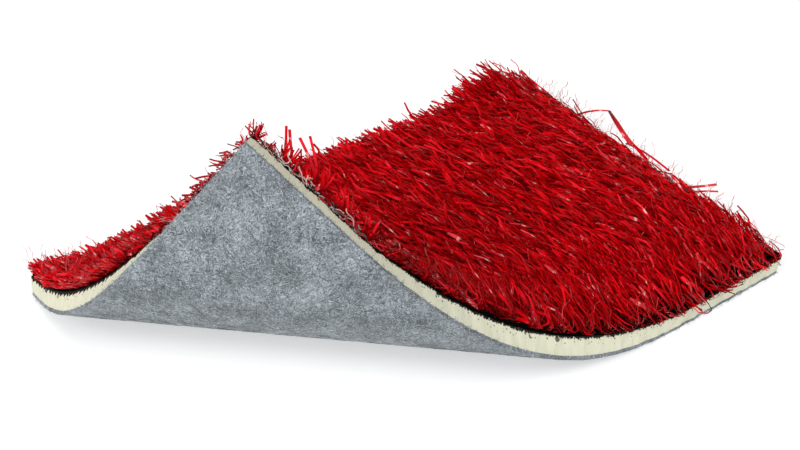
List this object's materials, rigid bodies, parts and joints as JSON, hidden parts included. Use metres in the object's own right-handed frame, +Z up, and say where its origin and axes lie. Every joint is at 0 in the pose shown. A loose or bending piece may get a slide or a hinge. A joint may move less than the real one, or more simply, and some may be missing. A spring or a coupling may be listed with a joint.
{
  "type": "crash landing mat",
  "caption": "Rectangular turf-topped landing mat sample: felt, foam pad, rubber coat, woven cloth and ribbon turf pile glued in a stack, one corner lifted and folded over.",
  "frame": {"origin": "middle of the felt's underside, on the floor", "axes": "+X along the long side, +Y along the short side, +Z up; the lifted corner is the one at -X, -Y"},
  "size_m": [0.2498, 0.1549, 0.0964],
  "materials": {
    "felt_backing": "needle-punched grey-blue felt with light and dark fibres mixed in",
    "foam_pad": "open cut edge of cream polyurethane foam, fine vertical cut streaks and small voids",
    "rubber_coat": "matt black latex coat, slightly ragged at the cut edge",
    "backing_cloth": "black woven backing cloth that holds the tufts",
    "turf_pile": "dense red polyethylene ribbon blades, slightly glossy, with deep red shadows between them"
  },
  "bodies": {
    "main_panel": {"felt_backing_main": "felt_backing", "foam_pad_main": "foam_pad", "rubber_coat_main": "rubber_coat", "backing_cloth_main": "backing_cloth", "turf_pile_main": "turf_pile"},
    "bend_1": {"felt_backing_bend_1": "felt_backing", "foam_pad_bend_1": "foam_pad", "rubber_coat_bend_1": "rubber_coat", "backing_cloth_bend_1": "backing_cloth", "turf_pile_bend_1": "turf_pile"},
    "bend_2": {"felt_backing_bend_2": "felt_backing", "foam_pad_bend_2": "foam_pad", "rubber_coat_bend_2": "rubber_coat", "backing_cloth_bend_2": "backing_cloth", "turf_pile_bend_2": "turf_pile"},
    "bend_3": {"felt_backing_bend_3": "felt_backing", "foam_pad_bend_3": "foam_pad", "rubber_coat_bend_3": "rubber_coat", "backing_cloth_bend_3": "backing_cloth", "turf_pile_bend_3": "turf_pile"},
    "bend_4": {"felt_backing_bend_4": "felt_backing", "foam_pad_bend_4": "foam_pad", "rubber_coat_bend_4": "rubber_coat", "backing_cloth_bend_4": "backing_cloth", "turf_pile_bend_4": "turf_pile"},
    "bend_5": {"felt_backing_bend_5": "felt_backing", "foam_pad_bend_5": "foam_pad", "rubber_coat_bend_5": "rubber_coat", "backing_cloth_bend_5": "backing_cloth", "turf_pile_bend_5": "turf_pile"},
    "corner": {"felt_backing_corner": "felt_backing", "foam_pad_corner": "foam_pad", "rubber_coat_corner": "rubber_coat", "backing_cloth_corner": "backing_cloth", "turf_pile_corner": "turf_pile"}
  },
  "joints": [
    {"name": "fold_1", "type": "hinge", "parent": "main_panel", "child": "bend_1", "pos_m": [-0.04655, 0.01525, 0], "axis": [-0.7547, 0.6561, 0], "range_deg": [-18.2, 3]},
    {"name": "fold_2", "type": "hinge", "parent": "bend_1", "child": "bend_2", "pos_m": [-0.05641, 0.0039, 0.00494], "axis": [-0.7547, 0.6561, 0], "range_deg": [-18.2, 3]},
    {"name": "fold_3", "type": "hinge", "parent": "bend_2", "child": "bend_3", "pos_m": [-0.06477, -0.00572, 0.01434], "axis": [-0.7547, 0.6561, 0], "range_deg": [-18.2, 3]},
    {"name": "fold_4", "type": "hinge", "parent": "bend_3", "child": "bend_4", "pos_m": [-0.07079, -0.01264, 0.02725], "axis": [-0.7547, 0.6561, 0], "range_deg": [-18.2, 3]},
    {"name": "fold_5", "type": "hinge", "parent": "bend_4", "child": "bend_5", "pos_m": [-0.07386, -0.01617, 0.04237], "axis": [-0.7547, 0.6561, 0], "range_deg": [-18.2, 3]},
    {"name": "fold_6", "type": "hinge", "parent": "bend_5", "child": "corner", "pos_m": [-0.07368, -0.01597, 0.0582], "axis": [-0.7547, 0.6561, 0], "range_deg": [-18.2, 3]}
  ],
  "couplings": [
    {"joint": "fold_2", "follows": "fold_1", "ratio": 1},
    {"joint": "fold_3", "follows": "fold_1", "ratio": 1},
    {"joint": "fold_4", "follows": "fold_1", "ratio": 1},
    {"joint": "fold_5", "follows": "fold_1", "ratio": 1},
    {"joint": "fold_6", "follows": "fold_1", "ratio": 1}
  ]
}
